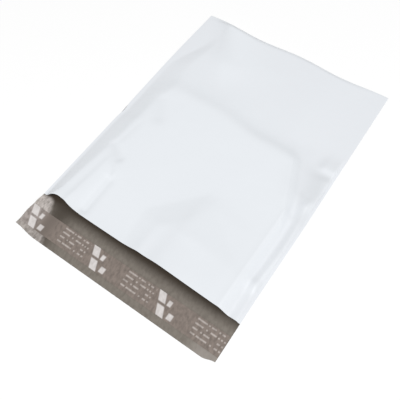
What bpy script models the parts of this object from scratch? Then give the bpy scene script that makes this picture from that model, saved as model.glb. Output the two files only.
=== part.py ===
# Poly mailer bag, lying flat on its back panel with the mouth open and the self-seal flap spread out.
# One film is folded at the closed end and welded along both long sides. The flap is the same film,
# run on past the mouth, and carries the adhesive strip and its release liner.
# Metres, +Z up, +Y towards the closed end, origin under the middle of the whole bag.

import math
from collections import namedtuple

import bmesh
import bpy
from mathutils import Vector

# The film as it is cut and welded
PANEL_WIDTH = 0.254
PANEL_LENGTH = 0.330
FLAP_LENGTH = 0.045
FILM_THICKNESS = 0.0000635
LAYER_GAP = 0.0001  # air left between the two panels where they lie together
SEAM_WIDTH = 0.003
SEAM_INSET = 0.0003  # from the cut edge to the outer side of a weld
SEAM_PITCH = 0.006  # length of one step of a weld along the edge
FLAP_CORNER_TRIM = 0.0035  # the flap is this much shorter at its two corners
FLAP_CORNER_REACH = 0.028

# The strip and its liner, laid across the inner face of the flap
LINER_WIDTH = 0.023
LINER_THICKNESS = 0.00006
LINER_TO_MOUTH = 0.014
LINER_END_INSET = 0.0004
ADHESIVE_WIDTH = 0.016
ADHESIVE_THICKNESS = 0.00005
ADHESIVE_END_INSET = 0.004
SEAT_GAP = 0.0001  # between pieces that rest on each other

# Colours, and how rough each surface is
OUTSIDE = ((0.83, 0.86, 0.89), 0.38)
INSIDE = ((0.42, 0.36, 0.31), 0.45)
ADHESIVE = ((0.78, 0.74, 0.62), 0.30)
LINER = ((0.55, 0.51, 0.47), 0.35)

# The room that the front panel spans over the back panel
POUCH_HEIGHT = 0.009
SLOPE_ROUNDING = 0.14  # share of a slope's width in which its foot and its top are rounded
LEFT_SLOPE_AT_MOUTH = 0.0125  # widths of the slope at the left
LEFT_SLOPE_WIDTH = 0.0215
LEFT_SLOPE_AT_END = 0.0095
LEFT_SLOPE_REACH = 0.120  # how far from the mouth it takes to widen
LEFT_FOOT_SHIFT = 0.020  # how far the foot of that slope moves in towards the closed end
LEFT_FOOT_START = 0.222
LEFT_FOOT_RUN = 0.072
RIGHT_MARGIN = 0.0145  # low film outside the right slope
RIGHT_SLOPE_WIDTH = 0.012
STEP_DEPTH = 0.198  # from the mouth to the step behind the raised part
STEP_ROUNDING = 0.012
STEP_FALL = 0.0105  # the run in which most of the step's height is lost
STEP_SLANT = 0.007  # how much nearer to the mouth the step lies to the right of its middle
STEP_SLANT_RUN = 0.060
POUCH_CORNER = ((0.205, 0.180), (0.226, 0.132))  # the line that cuts off the raised part at its right
POUCH_CORNER_FALL = 0.014
SLACK_HEIGHT = 0.0034  # height of the film just behind the step
SLACK_RIGHT_WIDTH = 0.070
END_RISE = 0.0017  # of the film beside the fold at the closed end
END_ROLL = 0.004
END_CORNER = ((0.018, 0.328), (0.051, 0.268))  # outside this line the far left corner lies flat
END_CORNER_SLOPE = 0.013
END_CORNER_START = 0.262
END_CORNER_RUN = 0.046
LIP_BACK = 0.0011  # how far the lip lies behind the start of the flap
LIP_PULL = 0.25  # how much more it draws back for each bit that it stands above the room
LIP_REACH = 0.030
LEFT_PULL = 0.004  # how much more it draws back at the left corner of the mouth
LEFT_PULL_PLACE = 0.021
LEFT_PULL_REACH = 0.015

# Small departures of the outline from a true rectangle
NOTCH_TO_MOUTH = 0.140
NOTCH_DEPTH = 0.0012
NOTCH_REACH = 0.009
SIDE_SWELL = 0.0013  # how much wider each side is where the film lies flat
LEFT_SWELL_TO_MOUTH = 0.240
LEFT_SWELL_REACH = 0.070
RIGHT_SWELL_START = 0.020
RIGHT_SWELL_RUN = 0.110
END_WAVE = 0.003
END_WAVE_LENGTH = 0.114
END_WAVE_SHIFT = 0.010
END_WAVE_REACH = 0.110  # how far into the panels the waves of the closed end go

# Spacing of the surface lines that carry the shape
FINE_PITCH = 0.0030
COARSE_PITCH = 0.0073
FINE_REACH = 0.032
PITCH_SAMPLES = 400  # steps in which the pitch is added up along a side
FOLD_STEPS = 4
BACK_STEPS = 6
FLAP_STEPS = 3

MOUTH_Y = (FLAP_LENGTH - PANEL_LENGTH) / 2
END_Y = MOUTH_Y + PANEL_LENGTH
HALF_WIDTH = PANEL_WIDTH / 2
LAYER_PITCH = FILM_THICKNESS + LAYER_GAP  # between the middles of two panels that lie together
LINER_MIDDLE_Y = MOUTH_Y - LINER_TO_MOUTH - LINER_WIDTH / 2
ADHESIVE_FLOOR = FILM_THICKNESS + SEAT_GAP
LINER_FLOOR = ADHESIVE_FLOOR + ADHESIVE_THICKNESS + SEAT_GAP

# A fold runs between two points and stands up, or with a negative rise sinks, by the rise at each.
# Its left and right reach are how far its two sides run out, seen from its start, and it fades past its
# ends. Points are across from the left edge and along from the mouth.
Fold = namedtuple("Fold", "start end start_rise end_rise left_reach right_reach fade")

FOLDS = (
    # the arch at the left of the mouth, the crease at its right and the wrinkle behind it
    Fold((0.034, 0.0), (0.038, 0.062), 0.0023, 0.0018, 0.0075, 0.020, 0.015),
    Fold((0.020, -0.002), (0.026, 0.010), 0.0012, 0.0006, 0.009, 0.009, 0.010),
    Fold((0.055, 0.008), (0.054, 0.050), -0.0015, -0.0013, 0.006, 0.0045, 0.006),
    Fold((0.033, 0.090), (0.048, 0.079), -0.0020, -0.0017, 0.009, 0.006, 0.008),
    # the soft hollow in front of the step
    Fold((0.037, 0.172), (0.048, 0.146), -0.0016, -0.0013, 0.009, 0.007, 0.008),
    # two humps of the lip at the middle of the mouth
    Fold((0.130, 0.0), (0.133, 0.036), 0.0009, 0.0004, 0.007, 0.006, 0.008),
    Fold((0.154, 0.0), (0.156, 0.040), 0.0013, 0.0006, 0.011, 0.012, 0.008),
    Fold((0.165, 0.088), (0.157, 0.056), 0.0012, 0.0008, 0.022, 0.008, 0.012),
    # the ridge along the right edge, past the foot of the slope
    Fold((0.247, 0.0), (0.246, 0.034), 0.0017, 0.0016, 0.006, 0.0035, 0.012),
    Fold((0.246, 0.044), (0.246, 0.146), 0.0034, 0.0042, 0.006, 0.0035, 0.014),
    Fold((0.247, 0.156), (0.248, 0.186), 0.0056, 0.0070, 0.014, 0.0036, 0.018),
    # the pucker past the right corner of the raised part
    Fold((0.238, 0.200), (0.247, 0.201), 0.0020, 0.0016, 0.018, 0.005, 0.006),
    # the long diagonal fold at the left of the closed end
    Fold((0.033, 0.322), (0.062, 0.268), 0.0042, 0.0024, 0.034, 0.012, 0.024),
)

# The flat-sided tent over the middle of the mouth: its height, how much its edges are rounded, and its
# boundary lines, each with the raised side to its right and how steeply the film rises from it
TENT_HEIGHT = 0.0042
TENT_ROUNDING = 0.0006
TENT_EDGES = (
    ((0.102, 0.039), (0.154, 0.097), 0.15),
    ((0.113, -0.005), (0.108, 0.046), 0.20),
    ((0.153, 0.100), (0.173, 0.068), 0.20),
    ((0.172, 0.070), (0.171, -0.005), 0.12),
)
TENT_AT_MOUTH = 0.6  # share of its height that it has at the mouth
TENT_RUN = 0.060  # from the mouth to where it has its whole height


def clear_scene():
    for item in list(bpy.data.objects):
        bpy.data.objects.remove(item, do_unlink=True)


def new_collection(name):
    group = bpy.data.collections.new(name)
    bpy.context.scene.collection.children.link(group)
    return group


def new_material(name, look):
    color, roughness = look
    material = bpy.data.materials.new(name)
    material.use_nodes = True
    shader = material.node_tree.nodes["Principled BSDF"]
    shader.inputs["Base Color"].default_value = (*color, 1.0)
    shader.inputs["Roughness"].default_value = roughness
    shader.inputs["Metallic"].default_value = 0.0
    return material


def ease(value):
    """0 up to 0, 1 from 1 on, and a smooth S between."""
    value = min(max(value, 0.0), 1.0)
    return value * value * (3.0 - 2.0 * value)


def bell(value):
    """1 at 0, and falling away on both sides."""
    return math.exp(-value * value)


def ramp(value, rounding):
    """0 up to 0 and nearly 1 from 1 on, straight between with rounded ends."""
    foot = (1.0 + rounding - math.hypot(1.0, rounding)) / 2
    share = (math.hypot(value, rounding) - math.hypot(value - 1.0, rounding) + 1.0) / 2
    return max(0.0, (share - foot) / (1.0 - foot))


def soft_max(first, second, rounding):
    """The larger of two values, rounded where they cross."""
    near = max(rounding - abs(first - second), 0.0) / rounding
    return max(first, second) + near ** 3 * rounding / 6


def spread(length, fine_at):
    """Places from 0 to length, close together near each of the given places and wider apart between."""
    part = length / PITCH_SAMPLES
    density = []
    for i in range(PITCH_SAMPLES):
        near = sum(bell(((i + 0.5) * part - spot) / FINE_REACH) for spot in fine_at)
        density.append(1.0 / COARSE_PITCH + (1.0 / FINE_PITCH - 1.0 / COARSE_PITCH) * min(near, 1.0))
    total = sum(density) * part
    count = max(2, round(total))
    places, passed, step = [0.0], 0.0, total / count
    for i in range(PITCH_SAMPLES):
        share = density[i] * part
        while len(places) < count and passed + share >= step * len(places):
            inside = (step * len(places) - passed) / share
            places.append((i + inside) * part)
        passed += share
    return places + [length]


def from_line(place, start, end):
    """How far a place is along a line from its start, and how far to the left of it."""
    line = (Vector(end) - Vector(start)).normalized()
    offset = place - Vector(start)
    return offset.dot(line), line.x * offset.y - line.y * offset.x


def fold_height(fold, place):
    length = (Vector(fold.end) - Vector(fold.start)).length
    along, across = from_line(place, fold.start, fold.end)
    rise = fold.start_rise + (fold.end_rise - fold.start_rise) * min(max(along / length, 0.0), 1.0)
    reach = fold.left_reach if across > 0.0 else fold.right_reach
    return rise * bell(across / reach) * bell(max(0.0, -along, along - length) / fold.fade)


def tent_height(place):
    height = TENT_HEIGHT * (TENT_AT_MOUTH + (1.0 - TENT_AT_MOUTH) * ease(place.y / TENT_RUN))
    for start, end, slope in TENT_EDGES:
        height = -soft_max(slope * from_line(place, start, end)[1], -height, TENT_ROUNDING)
    return soft_max(height, 0.0, TENT_ROUNDING)


def front_height(x, depth):
    """How far the front film stands above where it would lie on the back film."""
    place = Vector((HALF_WIDTH + x, depth))
    to_left, to_right, to_end = place.x, HALF_WIDTH - x, PANEL_LENGTH - depth

    foot_share = ease((depth - LEFT_FOOT_START) / LEFT_FOOT_RUN)
    slope = LEFT_SLOPE_AT_MOUTH + (LEFT_SLOPE_WIDTH - LEFT_SLOPE_AT_MOUTH) * ease(depth / LEFT_SLOPE_REACH)
    slope += (LEFT_SLOPE_AT_END - slope) * foot_share
    left = ramp((to_left - SEAM_WIDTH - LEFT_FOOT_SHIFT * foot_share) / slope, SLOPE_ROUNDING)
    pouch_right = ramp((to_right - RIGHT_MARGIN) / RIGHT_SLOPE_WIDTH, SLOPE_ROUNDING)
    slack_right = ease((to_right - RIGHT_MARGIN / 2) / SLACK_RIGHT_WIDTH)

    slant = STEP_SLANT * ease(x / STEP_SLANT_RUN + 0.5)
    past = soft_max(depth - STEP_DEPTH + slant, 0.0, STEP_ROUNDING)
    past_corner = from_line(place, *POUCH_CORNER)[1] / POUCH_CORNER_FALL
    raised = math.exp(-past / STEP_FALL) * max(0.0, 1.0 - ramp(past_corner, SLOPE_ROUNDING))

    slack = (SLACK_HEIGHT - END_RISE) * ease(to_end / (PANEL_LENGTH - STEP_DEPTH))
    slack += END_RISE * ease(to_end / END_ROLL)
    height = left * (POUCH_HEIGHT * pouch_right * raised + slack_right * slack * (1.0 - raised))

    corner = ramp(from_line(place, *END_CORNER)[1] / END_CORNER_SLOPE, SLOPE_ROUNDING)
    height *= 1.0 - ease((depth - END_CORNER_START) / END_CORNER_RUN) * (1.0 - min(corner, 1.0))

    # folds die out before the welds and the closed end, and never push the film through the back panel
    free = ease((to_left - SEAM_WIDTH) / SEAM_WIDTH) * ease((to_right - SEAM_WIDTH) / SEAM_WIDTH)
    free *= ease(to_end / END_ROLL / 2)
    extra = sum(fold_height(fold, place) for fold in FOLDS) + tent_height(place)
    return max(0.0, height + free * extra)


def outline(point):
    """The flat cut sheet, with a notch in its left side, swelled sides and a waved closed end."""
    x, y, z = point
    depth = y - MOUTH_Y
    if x < 0.0:
        widen = SIDE_SWELL * bell((depth - LEFT_SWELL_TO_MOUTH) / LEFT_SWELL_REACH)
        widen -= NOTCH_DEPTH * bell((depth - NOTCH_TO_MOUTH) / NOTCH_REACH)
    else:
        widen = SIDE_SWELL * ease((depth - RIGHT_SWELL_START) / RIGHT_SWELL_RUN)
    wave = 1.0 - math.cos(2.0 * math.pi * (x - END_WAVE_SHIFT) / END_WAVE_LENGTH)
    y -= END_WAVE / 2 * wave * ease((y - END_Y) / END_WAVE_REACH + 1.0)
    return Vector((x + widen * x / HALF_WIDTH, y, z))


def film_lines():
    """(depth from the mouth, turn of the fold or None, is it on the front) for each line across the film."""
    lines = [(-FLAP_LENGTH * (1.0 - i / FLAP_STEPS), None, False) for i in range(FLAP_STEPS)]
    lines += [(PANEL_LENGTH * i / BACK_STEPS, None, False) for i in range(BACK_STEPS)]
    lines += [(PANEL_LENGTH, math.pi * i / FOLD_STEPS, False) for i in range(FOLD_STEPS + 1)]
    front = spread(PANEL_LENGTH - END_ROLL, (0.0, STEP_DEPTH)) + [PANEL_LENGTH - END_ROLL / 2]
    lines += [(depth, None, True) for depth in reversed(front)]
    return lines


def film_point(x, depth, turn, is_front):
    radius = LAYER_PITCH / 2
    middle = FILM_THICKNESS / 2
    y = MOUTH_Y + depth
    if is_front:
        height = front_height(x, depth)
        corner = bell((HALF_WIDTH + x - LEFT_PULL_PLACE) / LEFT_PULL_REACH)
        corner *= ease((HALF_WIDTH + x - SEAM_WIDTH) / LEFT_PULL_REACH)
        back = LIP_BACK + LIP_PULL * max(0.0, height - POUCH_HEIGHT) + LEFT_PULL * corner
        y += back * ease(1.0 - depth / LIP_REACH)
        return Vector((x, y, middle + LAYER_PITCH + height))
    if turn is not None:
        return Vector((x, y + radius * math.sin(turn), middle + radius * (1.0 - math.cos(turn))))
    if depth < 0.0:
        corner = ease((FLAP_CORNER_REACH - (HALF_WIDTH - abs(x))) / FLAP_CORNER_REACH)
        y += FLAP_CORNER_TRIM * corner * -depth / FLAP_LENGTH
    return Vector((x, y, middle))


def make_film(group, helpers, outer, inner):
    """The film as one sheet, folded over at the closed end, given its thickness and welded at its sides."""
    lines = film_lines()
    columns = [place - HALF_WIDTH for place in spread(PANEL_WIDTH, (0.0, PANEL_WIDTH))]

    sheet = bmesh.new()
    bmesh.ops.create_grid(sheet, x_segments=len(columns) - 1, y_segments=len(lines) - 1, size=1.0)
    for vert in sheet.verts:
        column = round((vert.co.x + 1.0) / 2.0 * (len(columns) - 1))
        line = round((vert.co.y + 1.0) / 2.0 * (len(lines) - 1))
        vert.co = outline(film_point(columns[column], *lines[line]))
    bmesh.ops.reverse_faces(sheet, faces=sheet.faces)

    mesh = bpy.data.meshes.new("film_bag")
    sheet.to_mesh(mesh)
    sheet.free()
    mesh.materials.append(outer)
    mesh.materials.append(inner)
    mesh.shade_smooth()
    film = bpy.data.objects.new("film_bag", mesh)
    group.objects.link(film)

    wall = film.modifiers.new("film thickness", "SOLIDIFY")
    wall.thickness = FILM_THICKNESS
    wall.offset = 0.0
    wall.material_offset = 1
    for side in (-1, 1):
        weld = film.modifiers.new("side weld", "BOOLEAN")
        weld.operation = "UNION"
        weld.solver = "EXACT"
        weld.object = make_weld(helpers, side)
    return film


def make_weld(helpers, side):
    """The fused film along one side, from the middle of one panel to the middle of the other."""
    length = PANEL_LENGTH - LIP_BACK - 2 * SEAM_INSET - LAYER_PITCH
    width = SEAM_WIDTH - 2 * SEAM_INSET
    bar = bmesh.new()
    bmesh.ops.create_cube(bar, size=1.0)
    bmesh.ops.scale(bar, vec=(width, length, LAYER_PITCH), verts=bar.verts)
    across = [edge for edge in bar.edges if abs(edge.verts[0].co.y - edge.verts[1].co.y) > length / 2]
    bmesh.ops.subdivide_edges(bar, edges=across, cuts=round(length / SEAM_PITCH), use_grid_fill=True)
    place = Vector((side * (HALF_WIDTH - SEAM_WIDTH / 2), (MOUTH_Y + LIP_BACK + END_Y) / 2, 0.0))
    place.z = (FILM_THICKNESS + LAYER_PITCH) / 2
    for vert in bar.verts:
        vert.co = outline(vert.co + place)
    mesh = bpy.data.meshes.new("side_weld")
    bar.to_mesh(mesh)
    bar.free()
    weld = bpy.data.objects.new("side_weld_left" if side < 0 else "side_weld_right", mesh)
    weld.hide_render = True
    weld.display_type = "WIRE"
    helpers.objects.link(weld)
    return weld


def make_strip(group, name, size, floor, material):
    """A flat strip across the flap, resting on what is under it."""
    bar = bmesh.new()
    bmesh.ops.create_cube(bar, size=1.0)
    bmesh.ops.scale(bar, vec=size, verts=bar.verts)
    mesh = bpy.data.meshes.new(name)
    bar.to_mesh(mesh)
    bar.free()
    mesh.materials.append(material)
    strip = bpy.data.objects.new(name, mesh)
    strip.location = (0.0, LINER_MIDDLE_Y, floor + size[2] / 2)
    group.objects.link(strip)
    return strip


def main():
    clear_scene()
    group = new_collection("poly_mailer_bag")
    helpers = new_collection("weld_helpers")
    outer = new_material("film_outside", OUTSIDE)
    inner = new_material("film_inside", INSIDE)
    glue = new_material("adhesive", ADHESIVE)
    coated = new_material("release_liner", LINER)

    make_film(group, helpers, outer, inner)
    adhesive = (PANEL_WIDTH - 2 * ADHESIVE_END_INSET, ADHESIVE_WIDTH, ADHESIVE_THICKNESS)
    liner = (PANEL_WIDTH - 2 * LINER_END_INSET, LINER_WIDTH, LINER_THICKNESS)
    make_strip(group, "adhesive_strip", adhesive, ADHESIVE_FLOOR, glue)
    make_strip(group, "release_liner", liner, LINER_FLOOR, coated)


main()
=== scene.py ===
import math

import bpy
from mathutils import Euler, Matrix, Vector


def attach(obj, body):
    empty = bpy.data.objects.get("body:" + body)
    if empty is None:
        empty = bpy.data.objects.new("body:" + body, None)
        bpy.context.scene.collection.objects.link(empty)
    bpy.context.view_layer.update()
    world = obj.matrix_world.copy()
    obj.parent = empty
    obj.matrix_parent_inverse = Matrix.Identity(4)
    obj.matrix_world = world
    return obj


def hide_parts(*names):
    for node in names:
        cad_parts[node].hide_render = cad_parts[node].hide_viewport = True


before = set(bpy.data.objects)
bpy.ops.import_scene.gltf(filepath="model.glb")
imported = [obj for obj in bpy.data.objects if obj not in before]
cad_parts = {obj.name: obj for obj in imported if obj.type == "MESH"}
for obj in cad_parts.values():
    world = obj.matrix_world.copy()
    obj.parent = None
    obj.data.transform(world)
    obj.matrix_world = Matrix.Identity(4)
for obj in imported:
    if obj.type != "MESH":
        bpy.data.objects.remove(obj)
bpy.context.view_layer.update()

# Poly mailer bag lying on its back panel: one film with open mouth and spread flap, the adhesive strip
# on the flap and the printed release liner over it. Metres, +Z up, +Y towards the closed end.


class Value:  # what comes out of a node, which can be reckoned with as if it were a number
    def __init__(self, graph, socket):
        self.graph = graph
        self.socket = socket

    def __add__(self, other):
        return self.graph.maths("ADD", self, other)

    def __radd__(self, other):
        return self.graph.maths("ADD", other, self)

    def __sub__(self, other):
        return self.graph.maths("SUBTRACT", self, other)

    def __rsub__(self, other):
        return self.graph.maths("SUBTRACT", other, self)

    def __mul__(self, other):
        return self.graph.maths("MULTIPLY", self, other)

    def __rmul__(self, other):
        return self.graph.maths("MULTIPLY", other, self)

    def __truediv__(self, other):
        return self.graph.maths("DIVIDE", self, other)

    def __pow__(self, other):
        return self.graph.maths("POWER", self, other)

    def __neg__(self):
        return self.graph.maths("MULTIPLY", self, -1.0)

    def __abs__(self):
        return self.graph.maths("ABSOLUTE", self)


class Graph:  # a node tree, of geometry or of a material, that is filled from Python
    def __init__(self, tree):
        self.tree = tree
        tree.nodes.clear()

    def node(self, kind, settings=None, sockets=None, output=0):
        node = self.tree.nodes.new(kind)
        for name, setting in (settings or {}).items():
            setattr(node, name, setting)
        for name, given in (sockets or {}).items():
            if isinstance(given, Value):
                self.tree.links.new(given.socket, node.inputs[name])
            else:
                node.inputs[name].default_value = given
        return Value(self, node.outputs[output]) if len(node.outputs) else node

    def maths(self, operation, *values):
        return self.node("ShaderNodeMath", {"operation": operation}, dict(enumerate(values)))

    def larger(self, first, second):
        return self.maths("MAXIMUM", first, second)

    def smaller(self, first, second):
        return self.maths("MINIMUM", first, second)

    def squareRoot(self, value):
        return self.maths("SQRT", value)

    def limit(self, value):  # held between 0 and 1
        return self.node("ShaderNodeClamp", None, {"Value": value})

    def ease(self, value):  # 0 up to 0, 1 from 1 on, and a smooth S between
        return self.node("ShaderNodeMapRange", {"interpolation_type": "SMOOTHSTEP"}, {"Value": value})

    def ramp(self, value, rounding):  # as ease, but straight between two rounded ends, and 0 at 0
        foot = (1 + rounding - math.sqrt(1 + rounding ** 2)) / 2
        before = self.squareRoot(value * value + rounding ** 2)
        after = self.squareRoot((value - 1) * (value - 1) + rounding ** 2)
        return self.larger(((before - after + 1) / 2 - foot) / (1 - foot), 0)

    def bell(self, value):  # 1 at 0, and falling away on both sides
        return self.maths("EXPONENT", -(value * value))

    def parts(self, vector):  # the three components of a vector
        node = self.node("ShaderNodeSeparateXYZ", None, {"Vector": vector}).socket.node
        return [Value(self, socket) for socket in node.outputs]

    def mix(self, share, first, second):  # of two colours
        colors = {name: (*color, 1.0) if isinstance(color, tuple) else color
                  for name, color in (("A", first), ("B", second))}
        node = self.tree.nodes.new("ShaderNodeMix")
        node.data_type = "RGBA"
        ends = {"Factor": share, **colors}
        for socket in node.inputs:
            given = ends.get(socket.name) if socket.enabled else None
            if isinstance(given, Value):
                self.tree.links.new(given.socket, socket)
            elif given is not None:
                socket.default_value = given
        return Value(self, next(socket for socket in node.outputs if socket.enabled))

    def vector(self, x, y, z):
        return self.node("ShaderNodeCombineXYZ", None, {"X": x, "Y": y, "Z": z})


def newTree(name, inputs, outputKind):  # a geometry tree with these named inputs and one output
    tree = bpy.data.node_groups.new(name, "GeometryNodeTree")
    for label, start in inputs.items():
        kind = "NodeSocketInt" if isinstance(start, int) else "NodeSocketFloat"
        tree.interface.new_socket(label, in_out="INPUT", socket_type=kind).default_value = start
    tree.interface.new_socket("result", in_out="OUTPUT", socket_type=outputKind)
    graph = Graph(tree)
    source = tree.nodes.new("NodeGroupInput")
    given = {label: Value(graph, source.outputs[label]) for label in inputs}
    return graph, given


def finishTree(graph, result):
    graph.node("NodeGroupOutput", None, {"result": result})
    return graph.tree


def grow(name, tree, sizes):  # run a geometry tree with these sizes and keep what it makes as a plain mesh
    piece = bpy.data.objects.new(name, bpy.data.meshes.new(name))
    bpy.context.scene.collection.objects.link(piece)
    modifier = piece.modifiers.new(name, "NODES")
    modifier.node_group = tree
    for item in tree.interface.items_tree:
        if item.in_out == "INPUT" and item.name in sizes:
            modifier[item.identifier] = sizes[item.name]
    return settle(piece)


def settle(piece):  # what the modifiers make becomes the piece's own mesh
    made = bpy.data.meshes.new_from_object(piece.evaluated_get(bpy.context.evaluated_depsgraph_get()))
    piece.modifiers.clear()
    piece.data = made
    made.name = piece.name
    return piece


def thicken(piece, thickness, inner):  # give a sheet its thickness, with this material on its inner side
    piece.data.materials.append(inner)
    wall = piece.modifiers.new("thickness", "SOLIDIFY")
    wall.thickness = thickness
    wall.offset = 0.0
    wall.material_offset = 1
    settle(piece)
    piece.data.set_sharp_from_angle(angle=math.radians(50))  # only the cut edges stay sharp
    return piece


def newMaterial(name, look):  # a Principled material and the graph that the rest of it is made in
    material = bpy.data.materials.new(name)
    material.use_nodes = True
    graph = Graph(material.node_tree)
    shader = graph.node("ShaderNodeBsdfPrincipled", None, {
        "Base Color": (*look["color"], 1.0),
        "Roughness": look["roughness"],
        "IOR": look["ior"],
    })
    graph.node("ShaderNodeOutputMaterial", None, {"Surface": shader})
    return material, graph, shader.socket.node


# The film. Lengths across are taken from the left edge or the right edge, lengths along from the mouth.
film = {
    "panelWidth": 0.254,
    "panelLength": 0.330,
    "flapLength": 0.0450,
    "filmThickness": 0.0000635,
    "layerGap": 0.0001,
    "columns": 166,
    "flapRows": 30,
    "backRows": 22,
    "turnRows": 4,
    "frontRows": 206,
    "sideCrowding": 0.38,  # how much closer together the columns stand at the sides
    "mouthCrowding": 1.2,  # and the rows at the mouth
    "pouchHeight": 0.0090,
    "weldWidth": 0.0030,
    "leftSlopeAtMouth": 0.0125,
    "leftSlope": 0.0225,
    "leftSlopeReach": 0.120,  # how far from the mouth it takes to widen
    "leftSlopeAtLip": 0.0035,  # how much narrower it is right at the lip
    "leftSlopeLipReach": 0.010,
    "leftSlopeBehind": 0.0080,  # how much wider it is again just behind the step
    "leftSlopeBehindPlace": 0.006,
    "leftSlopeBehindReach": 0.024,
    "leftFootShift": 0.0200,  # how far the foot of the left slope moves in towards the closed end
    "leftFootEase": 0.0022,  # and how far it moves in around the notch
    "leftFootEaseBefore": 0.016,
    "leftFootEaseRun": 0.040,
    "leftFootStart": 0.222,
    "leftFootRun": 0.072,
    "leftSlopeAtEnd": 0.0095,
    "endCornerStart": 0.262,  # from here on the left corner lies flat up to a diagonal line
    "endCornerRun": 0.046,
    "endCornerSlope": 0.0130,
    "rightMargin": 0.0145,
    "rightSlope": 0.0106,
    "slopeRounding": 0.14,
    "stepDepth": 0.1980,  # from the mouth to where the raised part ends
    "stepRounding": 0.012,
    "stepFallLeft": 0.0145,  # the run in which most of the step's height is lost
    "stepFallRight": 0.0085,
    "stepFallCorner": 0.0160,  # how much longer it is at the left side
    "stepCornerReach": 0.070,
    "stepSlant": 0.0070,  # how much nearer to the mouth the step lies to the right of its middle
    "stepSlantRun": 0.060,
    "cornerFall": 0.0125,  # the run in which the height is lost at the raised part's right corner
    "cornerRounding": 0.2,
    "slackHeight": 0.0034,
    "slackRightWidth": 0.070,
    "edgeClosed": 0.0002,  # the cut edge where the panels touch, and the run in which they part behind it
    "edgeParting": 0.002,
    "endRise": 0.0017,  # of the rounded fold at the closed end
    "endRoll": 0.0040,
    "lipBack": 0.0011,  # how far the lip lies behind the start of the flap
    "lipPull": 0.25,  # how much more it draws back for each bit that it stands above the room
    "leftPull": 0.0040,
    "leftPullPlace": 0.0210,
    "leftPullReach": 0.0150,
    "lipReach": 0.030,
    "flapLeftTrim": 0.0028,
    "flapLeftReach": 0.028,
    "flapRightTrim": 0.0034,
    "flapRightReach": 0.014,
    "notchToMouth": 0.140,
    "notchDepth": 0.0012,
    "notchReach": 0.009,
    "sideSwell": 0.0013,  # how much wider each side is where the film lies flat
    "leftSwellToMouth": 0.240,
    "leftSwellReach": 0.070,
    "rightSwellStart": 0.020,
    "rightSwellRun": 0.110,
    "endWave": 0.0030,
    "endWaveLength": 0.114,
    "endWaveShift": 0.010,
    "endWaveReach": 0.110,
    "cornerCurl": 0.0022,  # how far the left end of the flap curls up
    "cornerCurlReach": 0.030,
    "cornerCurlStart": 0.012,  # the run past the mouth in which it sets in
    "flapWave": 0.0006,  # the ripple in that curl, and how fast it runs outwards and across
    "flapWaveOut": 260.0,
    "flapWaveAcross": 90.0,
}
mouthY = (film["flapLength"] - film["panelLength"]) / 2
halfWidth = film["panelWidth"] / 2

# Each fold in mm: where it starts and ends, across from the left edge and along from the mouth, how far it
# rises or with a minus sign sinks at both, its reach to the left and to the right seen from its start,
# how far it fades past its ends, how sharp its crest is, from 0 to 1, and how far it bends to the left.
folds = {
    "mouthArch": ((31, 0), (36, 64), 1.7, 1.1, 4.8, 22.0, 14, 0.1, 0),
    "mouthArchLip": ((20, -2), (26, 10), 1.0, 0.4, 9.0, 9.0, 10, 0.0, 0),
    "mouthCrease": ((55, 8), (54, 50), -1.8, -1.6, 7.0, 4.5, 6, 0.3, 0),
    "shoulderWrinkle": ((27, 90), (44, 79), -1.2, -1.2, 6.0, 6.0, 5, 0.2, 0),
    "shoulderTrace": ((30, 104), (33, 128), -0.5, -0.3, 3.0, 4.0, 8, 0.3, 0),
    "softPatch": ((33, 170), (46, 150), -1.2, -1.2, 9.0, 9.0, 9, 0.1, 0),
    "lipHump": ((130, 0), (133, 36), 0.6, 0.3, 7.0, 7.0, 8, 0.1, 0),
    "lipHumpRight": ((154, 0), (156, 40), 1.4, 0.7, 11.0, 20.0, 8, 0.1, 0),
    "tentShoulder": ((165, 84), (158, 50), 1.0, 0.9, 34.0, 10.0, 12, 0.1, 0),
    "rightTopRidge": ((231, 4), (231, 122), 0.9, 0.8, 4.5, 4.0, 8, 0.1, 0),
    "slopeRidge": ((238, 4), (238, 120), 1.0, 1.0, 5.0, 3.0, 8, 0.1, 0),
    "marginRidge": ((246, 44), (244.5, 142), 3.8, 3.8, 7.5, 4.0, 9, 0.1, -3.5),
    "marginRidgeLower": ((249, 0), (248, 34), 2.2, 2.4, 9.0, 3.5, 12, 0.1, 0),
    "cornerRidge": ((249.5, 154), (249.5, 180), 4.4, 4.4, 21.0, 4.0, 12, 0.1, 0),
    "cornerPucker": ((239, 199), (249, 199.5), 3.0, 3.0, 14.0, 6.5, 8, 0.1, 0),
    "endLeftWrinkle": ((4, 300), (18, 292), -0.5, -0.3, 4.0, 5.0, 4, 0.2, 0),
    "endDiagonal": ((33, 322), (62, 268), 4.0, 2.8, 50.0, 14.0, 30, 0.1, 0),
}

# Each tent in mm: how high it gets, and its boundary lines, with the raised side to the right of the line
# and how steeply the film rises from each
tents = {
    "mouthTent": (3.0, ((102, 39), (154, 97), 0.110), ((113, -5), (108, 46), 0.130),
                  ((153, 100), (180, 78), 0.085), ((226, 80), (224, -5), 0.050)),
}
tentShape = {
    "shareAtMouth": 0.75,  # of its height
    "growth": 0.090,  # how far from the mouth it has its full height
    "edgeRounding": 0.0006,
    "footRounding": 0.0004,
}

# Lines in mm, as the folds: where the raised part is cut off at its right corner, and where the film lies
# flat at the left corner of the closed end
pouchCornerLine = ((204, 182), (226, 128))
endCornerLine = ((18, 328), (51, 268))


def beyondLine(x, y, line):  # how far a place lies to the left of a line, seen from its start
    start, end = Vector(line[0]) / 1000, Vector(line[1]) / 1000
    along = (end - start).normalized()
    return (y - start.y) * along.x - (x - start.x) * along.y


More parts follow.
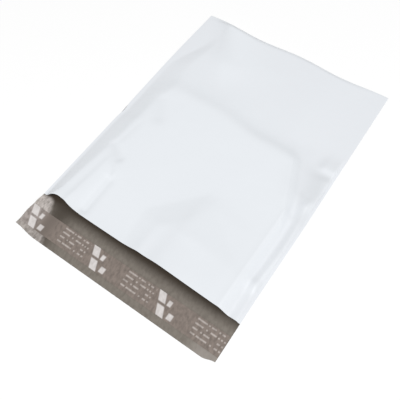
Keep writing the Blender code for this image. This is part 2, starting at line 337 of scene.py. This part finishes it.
def foldTree():  # how far one fold lifts the film at a place
    names = ("x", "y", "startX", "startY", "alongX", "alongY", "length", "startRise", "endRise",
             "leftReach", "rightReach", "fade", "sharpness", "bend")
    graph, given = newTree("fold", {name: 1.0 for name in names}, "NodeSocketFloat")
    fromX, fromY = given["x"] - given["startX"], given["y"] - given["startY"]
    along = fromX * given["alongX"] + fromY * given["alongY"]
    share = graph.limit(along / given["length"])
    across = fromY * given["alongX"] - fromX * given["alongY"] - given["bend"] * 4 * share * (1 - share)
    rise = given["startRise"] + (given["endRise"] - given["startRise"]) * share
    toLeft = graph.maths("GREATER_THAN", across, 0.0)
    reach = given["rightReach"] + (given["leftReach"] - given["rightReach"]) * toLeft
    away = abs(across) / reach
    side = away * away / (1 - given["sharpness"] + given["sharpness"] * away)
    beyond = graph.larger(graph.larger(-along, along - given["length"]), 0.0) / given["fade"]
    return finishTree(graph, rise * graph.maths("EXPONENT", -(side + beyond * beyond)))


def foldsAt(graph, x, y):  # all the folds together at a place
    one = foldTree()
    total = 0.0
    for start, end, startRise, endRise, leftReach, rightReach, fade, sharpness, bend in folds.values():
        line = Vector(end) - Vector(start)
        place = {
            "x": x, "y": y, "startX": start[0] / 1000 - halfWidth, "startY": start[1] / 1000 + mouthY,
            "alongX": line.normalized().x, "alongY": line.normalized().y, "length": line.length / 1000,
            "startRise": startRise / 1000, "endRise": endRise / 1000, "leftReach": leftReach / 1000,
            "rightReach": rightReach / 1000, "fade": fade / 1000, "sharpness": sharpness,
            "bend": bend / 1000,
        }
        total = graph.node("GeometryNodeGroup", {"node_tree": one}, place) + total
    return total


def tentsAt(graph, x, y):  # the flat-sided tents at a place
    total = 0.0
    for top, *edges in tents.values():
        low, grown = tentShape["shareAtMouth"], graph.ease((y - mouthY) / tentShape["growth"])
        rise = top / 1000 * (low + (1 - low) * grown)
        for start, end, slope in edges:
            line = (Vector(end) - Vector(start)).normalized()
            offset = (start[0] / 1000 - halfWidth) * line.y - (start[1] / 1000 + mouthY) * line.x
            side = (x * line.y - y * line.x - offset) * slope
            rise = graph.maths("SMOOTH_MIN", side, rise, tentShape["edgeRounding"])
        total = graph.maths("SMOOTH_MAX", rise, 0.0, tentShape["footRounding"]) + total
    return total


def cornerCurl(graph, x, y):  # how far both films and what lies on them are lifted at the left of the flap
    across = graph.larger(1 - (x + halfWidth) / film["cornerCurlReach"], 0.0)
    beyond = mouthY - y
    waves = graph.maths("SINE", beyond * film["flapWaveOut"] + x * film["flapWaveAcross"]) * film["flapWave"]
    return across * across * (film["cornerCurl"] + waves) * graph.ease(beyond / film["cornerCurlStart"])


def filmTree(outer):  # one flat sheet, bent over at the closed end and raised over its contents' room
    graph, size = newTree("filmSheet", film, "NodeSocketGeometry")
    rowCount = size["flapRows"] + size["backRows"] + size["turnRows"] + size["frontRows"]
    grid = graph.node("GeometryNodeMeshGrid", None, {
        "Size X": 1.0, "Size Y": 1.0, "Vertices X": size["columns"] + 1, "Vertices Y": rowCount + 1})
    gridX, gridY, _ = graph.parts(graph.node("GeometryNodeInputPosition"))

    # columns, closer together at the sides
    crowd = graph.maths("SINE", gridX * (2 * math.pi)) * size["sideCrowding"] / (2 * math.pi)
    x = size["panelWidth"] * (gridX + crowd)

    # rows: along the flap, along the back panel, round the turn, and back along the front panel
    row = (gridY + 0.5) * rowCount
    flapShare = graph.limit(row / size["flapRows"])
    backShare = graph.limit((row - size["flapRows"]) / size["backRows"])
    turnShare = graph.limit((row - size["flapRows"] - size["backRows"]) / size["turnRows"])
    frontShare = graph.limit((row - rowCount) / size["frontRows"] + 1)
    front = graph.maths("GREATER_THAN", turnShare, 0.999)  # 1 on the front panel and 0 before it
    depth = size["panelLength"] * ((1 - frontShare) ** size["mouthCrowding"]) * front
    depth = depth + size["panelLength"] * backShare * (1 - front)
    y = mouthY + depth - size["flapLength"] * (1 - flapShare)

    toLeft, toRight = x + size["panelWidth"] / 2, size["panelWidth"] / 2 - x
    toSide = graph.smaller(toLeft, toRight)
    toEnd = size["panelLength"] - depth

    # the raised front panel
    widening = graph.ease(depth / size["leftSlopeReach"])
    footShare = graph.ease((depth - size["leftFootStart"]) / size["leftFootRun"])
    leftWidth = size["leftSlopeAtMouth"] + (size["leftSlope"] - size["leftSlopeAtMouth"]) * widening
    leftWidth = leftWidth - size["leftSlopeAtLip"] * graph.bell(depth / size["leftSlopeLipReach"])
    behind = (depth - size["stepDepth"] - size["leftSlopeBehindPlace"]) / size["leftSlopeBehindReach"]
    leftWidth = leftWidth + size["leftSlopeBehind"] * graph.bell(behind)
    leftWidth = leftWidth + (size["leftSlopeAtEnd"] - leftWidth) * footShare
    leftFoot = size["weldWidth"] + size["leftFootShift"] * footShare
    eased = (depth - size["notchToMouth"] + size["leftFootEaseBefore"]) / size["leftFootEaseRun"]
    leftFoot = leftFoot + size["leftFootEase"] * graph.ease(eased)
    left = graph.ramp((toLeft - leftFoot) / leftWidth, film["slopeRounding"])
    pouchRight = graph.ramp((toRight - size["rightMargin"]) / size["rightSlope"], film["slopeRounding"])
    slackRight = graph.ease((toRight - size["rightMargin"] / 2) / size["slackRightWidth"])
    slant = graph.ease(x / size["stepSlantRun"] + 0.5)
    past = depth - size["stepDepth"] + size["stepSlant"] * slant
    past = graph.maths("SMOOTH_MAX", past, 0.0, size["stepRounding"])
    fall = size["stepFallLeft"] + (size["stepFallRight"] - size["stepFallLeft"]) * slant
    fall = fall + size["stepFallCorner"] * graph.ease(1 - toLeft / size["stepCornerReach"])
    raised = graph.maths("EXPONENT", -past / fall)
    cut = beyondLine(toLeft, depth, pouchCornerLine) / size["cornerFall"]
    raised = raised * (1 - graph.ramp(cut, film["cornerRounding"]))
    slackShare = graph.ease(toEnd / (size["panelLength"] - size["stepDepth"]))
    slack = (size["slackHeight"] - size["endRise"]) * slackShare
    slack = slack + size["endRise"] * graph.ease(toEnd / size["endRoll"])
    height = left * (size["pouchHeight"] * pouchRight * raised + slackRight * slack * (1 - raised))

    # the left corner of the closed end, flat up to a diagonal line
    inside = beyondLine(toLeft, depth, endCornerLine) / size["endCornerSlope"]
    cornerShare = graph.ease((depth - size["endCornerStart"]) / size["endCornerRun"])
    height = height * (1 - cornerShare * (1 - graph.ramp(inside, film["slopeRounding"])))

    # the folds, which die out at the welds and the closed end
    free = graph.ease((toSide - size["weldWidth"] / 2) / size["weldWidth"])
    free = free * graph.ease(toEnd / size["endRoll"] / 2)
    extra = foldsAt(graph, x, y) + tentsAt(graph, x, y)
    height = graph.larger(height + free * extra, 0.0)

    # the turn at the closed end, and the two panels coming together at the cut sides
    parting = graph.ease((toSide - size["edgeClosed"]) / size["edgeParting"])
    pitch = size["filmThickness"] + size["layerGap"] * parting
    turn = turnShare * math.pi
    bulge = pitch / 2 * graph.maths("SINE", turn)
    z = size["filmThickness"] / 2 + pitch / 2 * (1 - graph.maths("COSINE", turn)) + height * front
    back = size["lipBack"] + size["lipPull"] * graph.larger(height - size["pouchHeight"], 0.0)
    corner = graph.bell((toLeft - size["leftPullPlace"]) / size["leftPullReach"])
    back = back + size["leftPull"] * corner * graph.ease((toLeft - size["weldWidth"]) / size["leftPullReach"])
    y = y + bulge + back * graph.ease(1 - depth / size["lipReach"]) * front
    z = z + cornerCurl(graph, x, y)

    # the outline: flap corners, the sides with the notch at the left, and the waves of the closed end
    trim = size["flapLeftTrim"] * graph.ease(1 - toLeft / size["flapLeftReach"])
    trim = trim + size["flapRightTrim"] * graph.ease(1 - toRight / size["flapRightReach"])
    y = y + trim * (1 - flapShare)
    inward = y - mouthY
    leftSide = size["sideSwell"] * graph.bell((inward - size["leftSwellToMouth"]) / size["leftSwellReach"])
    notch = size["notchDepth"] * graph.bell((inward - size["notchToMouth"]) / size["notchReach"])
    rightSide = size["sideSwell"] * graph.ease((inward - size["rightSwellStart"]) / size["rightSwellRun"])
    aside = x / (size["panelWidth"] / 2)
    x = x + rightSide * graph.limit(aside) - (leftSide - notch) * graph.limit(-aside)
    wave = 1 - graph.maths("COSINE", (x - size["endWaveShift"]) * (2 * math.pi) / size["endWaveLength"])
    y = y - size["endWave"] / 2 * wave * graph.ease(1 - toEnd / size["endWaveReach"])

    sheet = graph.node("GeometryNodeSetPosition", None, {"Geometry": grid, "Position": graph.vector(x, y, z)})
    sheet = graph.node("GeometryNodeFlipFaces", None, {"Mesh": sheet})
    sheet = graph.node("GeometryNodeSetShadeSmooth", None, {"Geometry": sheet})
    sheet = graph.node("GeometryNodeRealizeInstances", None, {"Geometry": sheet})
    sheet = graph.node("GeometryNodeSetMaterial", None, {"Geometry": sheet, "Material": outer})
    return finishTree(graph, sheet)


filmLook = {
    "outside": {"color": (0.805, 0.835, 0.87), "roughness": 0.45, "ior": 1.5},
    "outsideLow": (0.785, 0.81, 0.845),  # a little darker where the film lies low, below lowUpTo
    "lowUpTo": 0.007,
    "outsideHaze": (0.030, 0.0004),  # the size and depth of its unevenness
    "inside": {"color": (0.215, 0.19, 0.162), "roughness": 0.36, "ior": 1.5},
    "insideLit": (0.58, 0.53, 0.50),  # painted sheen where the curled end of the flap catches the light, and the paler outer part of the flap's right end
    "insideShadeAndStreaks": (0.052, 0.040, 0.029),  # painted shade under the lip and in the band beside the painted sheen, and the dark of the random streaks
    "insideHaze": (0.012, 0.0003),
}

# Where the inner face has painted sheen, painted shade or a paler tone: from the left edge, and from the
# mouth outwards
innerTones = {
    "sheenWidth": 0.018,
    "sheenSpread": 0.55,  # how much wider the painted sheen is for each bit further out
    "sheenSoftness": 0.007,
    "sheenStart": 0.006,  # the run in which it sets in at the mouth
    "sheenMottle": 0.75,
    "sheenFade": 0.35,  # how much weaker it is past sheenFadeFrom
    "sheenFadeFrom": 0.030,
    "sheenFadeRun": 0.008,
    "mouthDepth": 0.004,  # how far inside the mouth the full shade ends
    "shadeRun": 0.016,
    "bandShade": 0.85,  # of the painted dark band beside the painted sheen
    "bandPlace": 0.032,
    "bandReach": 0.016,
    "mottleShare": 0.3,
    "rightPaleness": 0.25,  # of the outer part of the flap's right end
    "rightFrom": 0.215,
    "rightRun": 0.025,
    "rightOutFrom": 0.024,
    "rightOutRun": 0.016,
}
mottleLook = {"scale": 190.0, "detail": 3.0, "acrossSkew": (1.6, 0.6), "alongSkew": (-0.5, 0.8),
              "from": 0.38, "contrast": 3.0}


# Painted shade on the white face: darker bands where shade falls in its creases, folds and hollows and on
# some
# slopes. Each band, in mm as the folds: its start and end, its reach to the left and right, how far it fades
# past its ends, and its share of darkening.
paintedShades = {
    "lowerRight": ((150, 32), (206, 32), 60, 70, 28, 0.034),
    "nearMouth": ((60, 2), (150, 2), 16, 16, 20, 0.016),
    "corner": ((246, 166), (243, 180), 14, 9, 12, 0.085),
    "cornerStreak": ((237, 140), (234, 154), 4.5, 4.5, 5, 0.035),
    "slopeTop": ((229, 40), (229, 116), 3, 3, 10, 0.014),
    "cornerInner": ((226, 148), (212, 206), 13, 14, 10, 0.030),
    "margin": ((248, 92), (248, 146), 5, 6, 16, 0.034),
    "marginUpper": ((249, 126), (249, 148), 4, 5, 6, 0.030),
    "marginLower": ((249, 14), (249, 40), 5, 6, 10, 0.024),
    "leftBand": ((25, 110), (24, 150), 6, 12, 14, 0.022),
    "shoulder": ((27, 91), (47, 79), 4.2, 4.2, 4, 0.044),
    "softPatch": ((33, 170), (47, 148), 7, 7, 7, 0.024),
    "crease": ((52, 4), (51, 58), 2.4, 2.4, 6, 0.030),
    "creaseHook": ((51, 58), (47, 66), 2.4, 2.4, 4, 0.020),
    "endDiagonal": ((31, 322), (60, 276), 8, 8, 10, 0.026),
}


def mottle(graph, x, y):  # the uneven, streaky look of the dark inner film, from 0 to 1
    (xToAcross, yToAcross), (xToAlong, yToAlong) = mottleLook["acrossSkew"], mottleLook["alongSkew"]
    noise = graph.node("ShaderNodeTexNoise", None, {
        "Vector": graph.vector(x * xToAcross + y * yToAcross, x * xToAlong + y * yToAlong, 0.0),
        "Scale": mottleLook["scale"], "Detail": mottleLook["detail"]})
    return graph.limit((noise - mottleLook["from"]) * mottleLook["contrast"])


def shadeAlongLine(graph, x, y, start, end, leftReach, rightReach, fade):  # 1 along a line and less away from it
    line = Vector(end) - Vector(start)
    along = line.normalized()
    fromX, fromY = x + halfWidth - start[0] / 1000, y - mouthY - start[1] / 1000
    forward = fromX * along.x + fromY * along.y
    across = fromY * along.x - fromX * along.y
    reach = (rightReach + (leftReach - rightReach) * graph.maths("GREATER_THAN", across, 0.0)) / 1000
    beyond = graph.larger(graph.larger(-forward, forward - line.length / 1000), 0.0) / (fade / 1000)
    return graph.bell(across / reach) * graph.bell(beyond)


def addHaze(graph, shader, size, depth):  # the faint unevenness of blown film
    place = graph.node("ShaderNodeTexCoord", None, None, "Object")
    noise = graph.node("ShaderNodeTexNoise", None, {"Vector": place, "Scale": 1 / size, "Detail": 3.0})
    bump = graph.node("ShaderNodeBump", None, {"Height": noise, "Strength": 1.0, "Distance": depth})
    graph.tree.links.new(bump.socket, shader.inputs["Normal"])


# The white outer face
outside, graph, shader = newMaterial("filmOutside", filmLook["outside"])
addHaze(graph, shader, *filmLook["outsideHaze"])
x, y, height = graph.parts(graph.node("ShaderNodeTexCoord", None, None, "Object"))
clear = graph.ease(height / filmLook["lowUpTo"])
tone = graph.mix(clear, filmLook["outsideLow"], filmLook["outside"]["color"])
# painted shade: the bands below darken the white face where shade falls
dark = 0.0
for *place, share in paintedShades.values():
    dark = shadeAlongLine(graph, x, y, *place) * share + dark
tone = graph.mix(dark, tone, (0.0, 0.0, 0.0))
graph.tree.links.new(tone.socket, shader.inputs["Base Color"])

# The grey-brown inner face
inside, graph, shader = newMaterial("filmInside", filmLook["inside"])
addHaze(graph, shader, *filmLook["insideHaze"])
x, y, _ = graph.parts(graph.node("ShaderNodeTexCoord", None, None, "Object"))
toLeft, beyond = x + halfWidth, mouthY - y
mottled = mottle(graph, x, y)
outOfMouth = beyond + innerTones["mouthDepth"]
# painted sheen: paler where the curled left end of the flap catches the light
paintedSheen = innerTones["sheenWidth"] + beyond * innerTones["sheenSpread"] - toLeft
paintedSheen = graph.ease(paintedSheen / innerTones["sheenSoftness"]) * (1 - innerTones["sheenMottle"] * mottled)
fading = graph.ease((beyond - innerTones["sheenFadeFrom"]) / innerTones["sheenFadeRun"])
paintedSheen = paintedSheen * (1 - innerTones["sheenFade"] * fading) * graph.ease(outOfMouth / innerTones["sheenStart"])
# painted shade: dark under the lip and in a band beside the painted sheen
band = innerTones["bandShade"] * graph.bell((toLeft - innerTones["bandPlace"]) / innerTones["bandReach"])
shade = 1 - graph.ease(outOfMouth / innerTones["shadeRun"]) * (1 - band)
rightEnd = graph.ease((toLeft - innerTones["rightFrom"]) / innerTones["rightRun"])
rightEnd = rightEnd * graph.ease((beyond - innerTones["rightOutFrom"]) / innerTones["rightOutRun"])
tone = graph.mix(mottled * innerTones["mottleShare"], filmLook["inside"]["color"], filmLook["insideShadeAndStreaks"])
tone = graph.mix(shade, tone, filmLook["insideShadeAndStreaks"])
tone = graph.mix(rightEnd * innerTones["rightPaleness"], tone, filmLook["insideLit"])
tone = graph.mix(paintedSheen, tone, filmLook["insideLit"])
graph.tree.links.new(tone.socket, shader.inputs["Base Color"])

bag = grow("mailerFilm", filmTree(outside), film)
thicken(bag, film["filmThickness"], inside)
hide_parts("film_bag")
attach(bag, "root")
print("film:", len(bag.data.polygons), "faces")


# The strip and the liner that lie across the inner face of the flap
strips = {
    "adhesiveWidth": 0.016,
    "adhesiveEndInset": 0.004,
    "adhesiveThickness": 0.00005,
    "linerWidth": 0.023,
    "linerToMouth": 0.014,
    "linerEndInset": 0.0004,
    "linerThickness": 0.00006,
    "seatGap": 0.0001,
    "linerRipple": 0.00025,
    "rippleScale": 30.0,
    "rippleFrom": 0.35,
    "rippleContrast": 2.5,
    "columns": 128,
    "rows": 8,
}


def layStrip(name, length, width, middle, floor, thickness, ripple, material):  # a thin strip on the flap
    sizes = {"length": length, "width": width, "middle": middle, "floor": floor, "thickness": thickness,
             "ripple": ripple, "columns": strips["columns"], "rows": strips["rows"]}
    graph, size = newTree(name, sizes, "NodeSocketGeometry")
    grid = graph.node("GeometryNodeMeshGrid", None, {
        "Size X": size["length"], "Size Y": size["width"],
        "Vertices X": size["columns"] + 1, "Vertices Y": size["rows"] + 1})
    x, y, _ = graph.parts(graph.node("GeometryNodeInputPosition"))
    noise = graph.node("ShaderNodeTexNoise", None, {
        "Vector": graph.vector(x, y * 2, 0.0), "Scale": strips["rippleScale"], "Detail": 1.0})
    lift = size["ripple"] * graph.ease((noise - strips["rippleFrom"]) * strips["rippleContrast"])
    y = y + size["middle"]
    z = size["floor"] + size["thickness"] / 2 + lift + cornerCurl(graph, x, y)
    strip = graph.node("GeometryNodeSetPosition", None, {"Geometry": grid, "Position": graph.vector(x, y, z)})
    strip = graph.node("GeometryNodeSetShadeSmooth", None, {"Geometry": strip})
    strip = graph.node("GeometryNodeRealizeInstances", None, {"Geometry": strip})
    strip = graph.node("GeometryNodeSetMaterial", None, {"Geometry": strip, "Material": material})
    return thicken(grow(name, finishTree(graph, strip), sizes), thickness, material)


linerMiddle = mouthY - strips["linerToMouth"] - strips["linerWidth"] / 2
adhesiveFloor = film["filmThickness"] + strips["seatGap"]
linerFloor = adhesiveFloor + strips["adhesiveThickness"] + strips["seatGap"]

stripLook = {
    "adhesive": {"color": (0.60, 0.57, 0.48), "roughness": 0.25, "ior": 1.5},
    "liner": {"color": (0.25, 0.205, 0.178), "roughness": 0.34, "ior": 1.5},
    "linerHaze": (0.010, 0.0003),
    # the dark of the random streaks and of the painted shade band
    "streakAndShade": (0.13, 0.108, 0.092),
    "streakAndShadeShare": 0.7,
    "shadeBand": 0.9,  # painted shade: how strong the dark is in a band near the left end
    "shadeBandPlace": 0.030,
    "shadeBandReach": 0.010,
    # painted sheen on the liner's curled left end
    "paintedSheen": (0.38, 0.335, 0.315),
    "sheenUpTo": 0.026,
    "sheenRun": 0.016,
    "print": (0.70, 0.665, 0.65),
    "printDimmed": 0.25,  # how far the streaks and the painted shade cover the print
    "smallPrint": (0.52, 0.47, 0.44),
    "smallPrintDimmed": 0.5,
    "printPeriod": 0.0847,
    "printSoftness": 0.0012,
    "markLength": 0.0017,
    "markGaps": 0.35,  # the share of places in a row that stay empty
}

# The printed shapes in mm, from the start of each period and from the mouth: left, right, near, far and how
# far it moves to the right on its way outwards
shapes = {
    "nearSlantBlock": (0.0, 9.5, 13.0, 24.5, 5.4),
    "farSlantBlock": (6.1, 15.6, 26.0, 37.5, 5.4),
    "smallBlock": (15.0, 20.5, 17.5, 24.5, 0.0),
    "largeBlock": (21.8, 28.8, 28.0, 35.5, 0.0),
}
rows = (15.4, 20.4, 25.4, 30.6)  # rows of small marks, in mm from the mouth
rowStart, rowEnd, rowHeight = 48.0, 84.2, 2.6  # where a row starts and ends in each period, and its height

glue = newMaterial("hotMeltAdhesive", stripLook["adhesive"])[0]
adhesiveLength = film["panelWidth"] - 2 * strips["adhesiveEndInset"]
adhesive = layStrip("adhesiveStrip", adhesiveLength, strips["adhesiveWidth"], linerMiddle, adhesiveFloor,
                    strips["adhesiveThickness"], 0.0, glue)
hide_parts("adhesive_strip")
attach(adhesive, "root")


def patch(graph, x, y, left, right, near, far, slant):  # 1 within a straight or slanted block, 0 outside
    aside = (y - near / 1000) * (slant / (far - near))
    soft = stripLook["printSoftness"]
    sides = graph.limit((x - aside - left / 1000) / soft) * graph.limit((right / 1000 + aside - x) / soft)
    return sides * graph.limit((y - near / 1000) / soft) * graph.limit((far / 1000 - y) / soft)


# The release liner's coated face, with its print
coated, graph, shader = newMaterial("releaseLiner", stripLook["liner"])
addHaze(graph, shader, *stripLook["linerHaze"])
x, y, _ = graph.parts(graph.node("ShaderNodeTexCoord", None, None, "Object"))
fromLeft, beyond = x + halfWidth, mouthY - y
period = stripLook["printPeriod"]
across = fromLeft - graph.maths("FLOOR", fromLeft / period) * period
printed = 0.0
for block in shapes.values():
    printed = graph.larger(printed, patch(graph, across, beyond, *block))
marked = 0.0
for count, near in enumerate(rows):
    cell = graph.vector(graph.maths("FLOOR", across / stripLook["markLength"]), float(count), 0.0)
    chance = graph.node("ShaderNodeTexWhiteNoise", {"noise_dimensions": "2D"}, {"Vector": cell})
    filled = graph.maths("GREATER_THAN", chance, stripLook["markGaps"])
    row = patch(graph, across, beyond, rowStart, rowEnd, near, near + rowHeight, 0.0)
    marked = graph.larger(marked, filled * row)
# painted sheen on the liner's curled left end
paintedSheen = graph.ease((stripLook["sheenUpTo"] - fromLeft) / stripLook["sheenRun"])
# painted shade in a band near the left end, joined with the random streaks
band = graph.bell((fromLeft - stripLook["shadeBandPlace"]) / stripLook["shadeBandReach"])
streaksAndShade = graph.larger(mottle(graph, x, y), band * stripLook["shadeBand"])
tone = graph.mix(paintedSheen, stripLook["liner"]["color"], stripLook["paintedSheen"])
tone = graph.mix(streaksAndShade * stripLook["streakAndShadeShare"], tone, stripLook["streakAndShade"])
tone = graph.mix(marked * (1 - streaksAndShade * stripLook["smallPrintDimmed"]), tone, stripLook["smallPrint"])
tone = graph.mix(printed * (1 - streaksAndShade * stripLook["printDimmed"]), tone, stripLook["print"])
graph.tree.links.new(tone.socket, shader.inputs["Base Color"])

linerLength = film["panelWidth"] - 2 * strips["linerEndInset"]
liner = layStrip("releaseLiner", linerLength, strips["linerWidth"], linerMiddle, linerFloor,
                 strips["linerThickness"], strips["linerRipple"], coated)
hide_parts("release_liner")
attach(liner, "root")
print("strips: adhesive and liner")


# The studio: a white floor, an even sky and one large soft lamp
studio = {
    "floorColor": (0.98, 0.98, 0.98),
    "floorSize": 6.0,
    "floorDrop": 0.0004,
    "skyStrength": 0.45,
    "lampPower": 290.0,
    "lampSize": 3.4,
    "lampPlace": (1.80, -2.40, 5.6),
    "cameraPlace": (0.17026, mouthY - 0.11227, 0.47707),
    "cameraTurn": (0.4864, 0.0196, 0.6044),
    "lens": 44.93,
}

floorLook = {"color": studio["floorColor"], "roughness": 1.0, "ior": 1.45}
white, graph, shader = newMaterial("floorWhite", floorLook)
shader.inputs["Specular IOR Level"].default_value = 0.0
bpy.ops.mesh.primitive_plane_add(size=studio["floorSize"], location=(0, 0, -studio["floorDrop"]))
floor = bpy.context.object
floor.name = "floor"
floor.data.materials.append(white)

world = bpy.data.worlds.new("sky")
bpy.context.scene.world = world
world.use_nodes = True
sky = Graph(world.node_tree)
light = sky.node("ShaderNodeBackground", None, {
    "Color": (1.0, 1.0, 1.0, 1.0), "Strength": studio["skyStrength"]})
sky.node("ShaderNodeOutputWorld", None, {"Surface": light})

lamp = bpy.data.objects.new("softLamp", bpy.data.lights.new("softLamp", "AREA"))
bpy.context.scene.collection.objects.link(lamp)
lamp.data.energy = studio["lampPower"]
lamp.data.size = studio["lampSize"]
lamp.location = studio["lampPlace"]
lamp.rotation_euler = (-Vector(studio["lampPlace"])).to_track_quat("-Z", "Y").to_euler()

camera = bpy.data.objects.new("camera", bpy.data.cameras.new("camera"))
bpy.context.scene.collection.objects.link(camera)
camera.location = studio["cameraPlace"]
camera.rotation_euler = Euler(studio["cameraTurn"], "XYZ")
camera.data.lens = studio["lens"]
camera.data.sensor_width = 36.0
camera.data.clip_start = 0.01
bpy.context.scene.camera = camera
bpy.context.scene.view_settings.view_transform = "Standard"
print("studio: floor, sky, lamp and camera")
